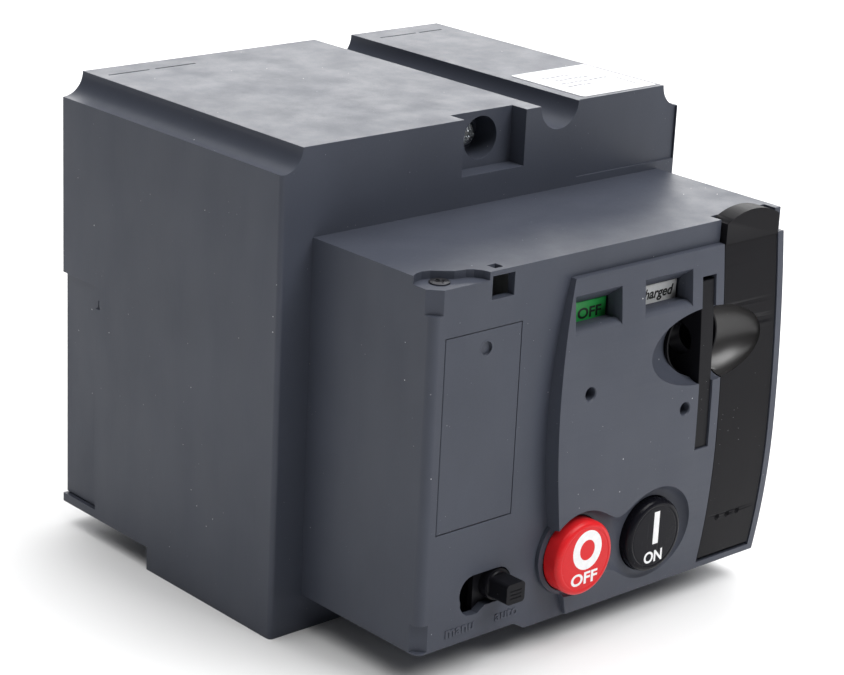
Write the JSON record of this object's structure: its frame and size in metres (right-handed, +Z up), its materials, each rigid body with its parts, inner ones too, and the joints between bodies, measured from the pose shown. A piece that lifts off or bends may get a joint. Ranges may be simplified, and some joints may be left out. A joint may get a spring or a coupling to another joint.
{
  "type": "circuit breaker motor operator",
  "caption": "Box-shaped motor operator that clamps on the front of a moulded-case circuit breaker, with a hand charging lever, push-buttons, a mode slide and flag windows.",
  "frame": {"origin": "centre of the four fixing holes, on the rear plate's rear face, which lies on the breaker", "axes": "+Y backwards out of the rear face towards the breaker, +Z up, +X to the right as seen from the front"},
  "size_m": [0.14, 0.1465, 0.1299],
  "materials": {
    "housing_plastic": "moulded, fine texture",
    "cover_plastic": "moulded, fine texture",
    "fascia_plastic": "moulded, smooth matte",
    "black_plastic": "satin",
    "red_plastic": "satin",
    "black_button": "satin",
    "flag_green": "printed",
    "flag_white": "printed",
    "label_white": "film",
    "zinc_steel": "zinc plated",
    "plate_steel": "galvanised",
    "hard_steel": "ground",
    "spring_steel": "oiled",
    "bronze": "sintered",
    "motor_paint": "satin",
    "pom_white": "machined",
    "coil_wrap": "wound",
    "board_green": "solder mask",
    "component_blue": "moulded",
    "terminal_plastic": "moulded"
  },
  "bodies": {
    "body": {"rear_housing": "housing_plastic", "rear_plate": "plate_steel", "left_side_cover": "housing_plastic", "right_side_cover": "housing_plastic", "blank_label": "label_white", "fixing_screw": "zinc_steel", "front_cover": "cover_plastic", "keylock_blank": "cover_plastic", "fascia_plate": "fascia_plastic", "cover_screw": "zinc_steel", "lever_pin": "zinc_steel", "off_button_spring": "spring_steel", "on_button_spring": "spring_steel", "button_guide": "black_plastic", "left_frame_plate": "plate_steel", "right_frame_plate": "plate_steel", "frame_pillars": "zinc_steel", "frame_screws": "zinc_steel", "rod_brackets": "plate_steel", "guide_rods": "hard_steel", "closing_springs": "spring_steel", "pivot_pins": "hard_steel", "gear_pins": "hard_steel", "shaft_bushes": "bronze", "motor_can": "motor_paint", "motor_end_cap": "black_plastic", "closing_coil": "coil_wrap", "opening_coil": "coil_wrap", "indicator_axle": "hard_steel", "control_board": "board_green", "board_parts": "component_blue", "terminal_block": "terminal_plastic", "terminal_screws": "zinc_steel", "microswitches": "black_plastic"},
    "charging_lever": {"charging_lever": "black_plastic", "lever_link_pin": "hard_steel"},
    "lever_link": {"lever_link": "zinc_steel"},
    "pawl_carrier": {"pawl_carrier": "zinc_steel"},
    "drive_pawl": {"drive_pawl": "hard_steel"},
    "hold_pawl": {"hold_pawl": "hard_steel"},
    "cam_shaft": {"cam_shaft": "hard_steel", "main_gear": "hard_steel", "charging_crank": "hard_steel", "ratchet_wheel": "hard_steel"},
    "idler_gear": {"idler_gear": "hard_steel"},
    "motor_pinion": {"motor_pinion": "bronze"},
    "rocker": {"rocker_arm": "hard_steel"},
    "cam_roller": {"cam_roller": "hard_steel"},
    "toggle_carriage": {"toggle_carriage": "pom_white", "carriage_bushes": "bronze"},
    "closing_latch": {"closing_latch": "zinc_steel"},
    "opening_latch": {"opening_latch": "zinc_steel"},
    "closing_plunger": {"closing_plunger": "zinc_steel"},
    "opening_plunger": {"opening_plunger": "zinc_steel"},
    "off_button": {"off_button": "red_plastic"},
    "on_button": {"on_button": "black_button"},
    "position_drum": {"position_drum": "flag_green"},
    "charge_drum": {"charge_drum": "flag_white"},
    "padlock_tab": {"padlock_tab": "black_plastic"},
    "mode_selector": {"mode_selector": "black_plastic"}
  },
  "joints": [
    {"name": "lever_pull", "type": "hinge", "parent": "body", "child": "charging_lever", "pos_m": [0.05, -0.1375, -0.04785], "axis": [1, 0, 0], "range_deg": [0, 75]},
    {"name": "link_swing", "type": "hinge", "parent": "charging_lever", "child": "lever_link", "pos_m": [0.0466, -0.1275, -0.04685], "axis": [1, 0, 0], "range_deg": [-80, 5]},
    {"name": "carrier_turn", "type": "hinge", "parent": "body", "child": "pawl_carrier", "pos_m": [0.044, -0.0675, -0.01085], "axis": [1, 0, 0], "range_deg": [-5, 80]},
    {"name": "drive_pawl_lift", "type": "hinge", "parent": "pawl_carrier", "child": "drive_pawl", "pos_m": [0.041, -0.0675, -0.02425], "axis": [1, 0, 0], "range_deg": [-12, 0], "stiffness_Nm_per_rad": 0.02},
    {"name": "hold_pawl_lift", "type": "hinge", "parent": "body", "child": "hold_pawl", "pos_m": [0.041, -0.0913, 0.00295], "axis": [1, 0, 0], "range_deg": [0, 12], "stiffness_Nm_per_rad": 0.02},
    {"name": "cam_shaft_turn", "type": "hinge", "parent": "body", "child": "cam_shaft", "pos_m": [0, -0.0675, -0.01085], "axis": [1, 0, 0], "continuous": true},
    {"name": "idler_turn", "type": "hinge", "parent": "body", "child": "idler_gear", "pos_m": [0.038, -0.04044, -0.0207], "axis": [1, 0, 0], "continuous": true},
    {"name": "motor_turn", "type": "hinge", "parent": "body", "child": "motor_pinion", "pos_m": [0.038, -0.0365, -0.00602], "axis": [1, 0, 0], "continuous": true},
    {"name": "carriage_slide", "type": "slide", "parent": "body", "child": "toggle_carriage", "axis": [0, 0, 1], "range_m": [0, 0.034], "deforming": ["closing_springs"]},
    {"name": "rocker_swing", "type": "hinge", "parent": "body", "child": "rocker", "pos_m": [-0.0175, -0.06, -0.00085], "axis": [1, 0, 0], "range_deg": [-1, 38.56]},
    {"name": "roller_spin", "type": "hinge", "parent": "rocker", "child": "cam_roller", "pos_m": [-0.0085, -0.07894, 0.00559], "axis": [1, 0, 0], "continuous": true},
    {"name": "closing_latch_swing", "type": "hinge", "parent": "body", "child": "closing_latch", "pos_m": [0, -0.1065, -0.02485], "axis": [1, 0, 0], "range_deg": [-1, 12.5]},
    {"name": "opening_latch_swing", "type": "hinge", "parent": "body", "child": "opening_latch", "pos_m": [0, -0.1065, -0.04645], "axis": [1, 0, 0], "range_deg": [-29.5, 1]},
    {"name": "closing_plunger_slide", "type": "slide", "parent": "body", "child": "closing_plunger", "axis": [0, 1, 0], "range_m": [0, 0.0027]},
    {"name": "opening_plunger_slide", "type": "slide", "parent": "body", "child": "opening_plunger", "axis": [0, 1, 0], "range_m": [0, 0.0023]},
    {"name": "off_press", "type": "slide", "parent": "body", "child": "off_button", "axis": [0, 1, 0], "range_m": [0, 0.0035], "stiffness_N_per_m": 900, "springref_m": -0.002, "deforming": ["off_button_spring"]},
    {"name": "on_press", "type": "slide", "parent": "body", "child": "on_button", "axis": [0, 1, 0], "range_m": [0, 0.0035], "stiffness_N_per_m": 900, "springref_m": -0.002, "deforming": ["on_button_spring"]},
    {"name": "position_drum_turn", "type": "hinge", "parent": "body", "child": "position_drum", "pos_m": [0, -0.1311, 0.02375], "axis": [1, 0, 0], "range_deg": [-62, 1]},
    {"name": "charge_drum_turn", "type": "hinge", "parent": "body", "child": "charge_drum", "pos_m": [0.018, -0.1311, 0.02375], "axis": [1, 0, 0], "range_deg": [-62, 1]},
    {"name": "padlock_tab_pull", "type": "slide", "parent": "body", "child": "padlock_tab", "axis": [0, -1, 0], "range_m": [0, 0.012]},
    {"name": "mode_select", "type": "slide", "parent": "body", "child": "mode_selector", "axis": [-1, 0, 0], "range_m": [0, 0.0084]}
  ],
  "couplings": [
    {"joint": "link_swing", "follows": "lever_pull", "ratio": -1},
    {"joint": "carrier_turn", "follows": "lever_pull", "ratio": 1},
    {"joint": "idler_turn", "follows": "cam_shaft_turn", "ratio": -5},
    {"joint": "motor_turn", "follows": "cam_shaft_turn", "ratio": 14},
    {"joint": "rocker_swing", "follows": "carriage_slide", "rad_per_m": 19.279},
    {"joint": "position_drum_turn", "follows": "carriage_slide", "rad_per_m": -30.8},
    {"joint": "charge_drum_turn", "follows": "carriage_slide", "rad_per_m": -30.8},
    {"joint": "closing_latch_swing", "follows": "on_press", "rad_per_m": 57.143},
    {"joint": "closing_plunger_slide", "follows": "on_press", "ratio": 0.74286},
    {"joint": "opening_latch_swing", "follows": "off_press", "rad_per_m": -142.86},
    {"joint": "opening_plunger_slide", "follows": "off_press", "ratio": 0.62857}
  ]
}
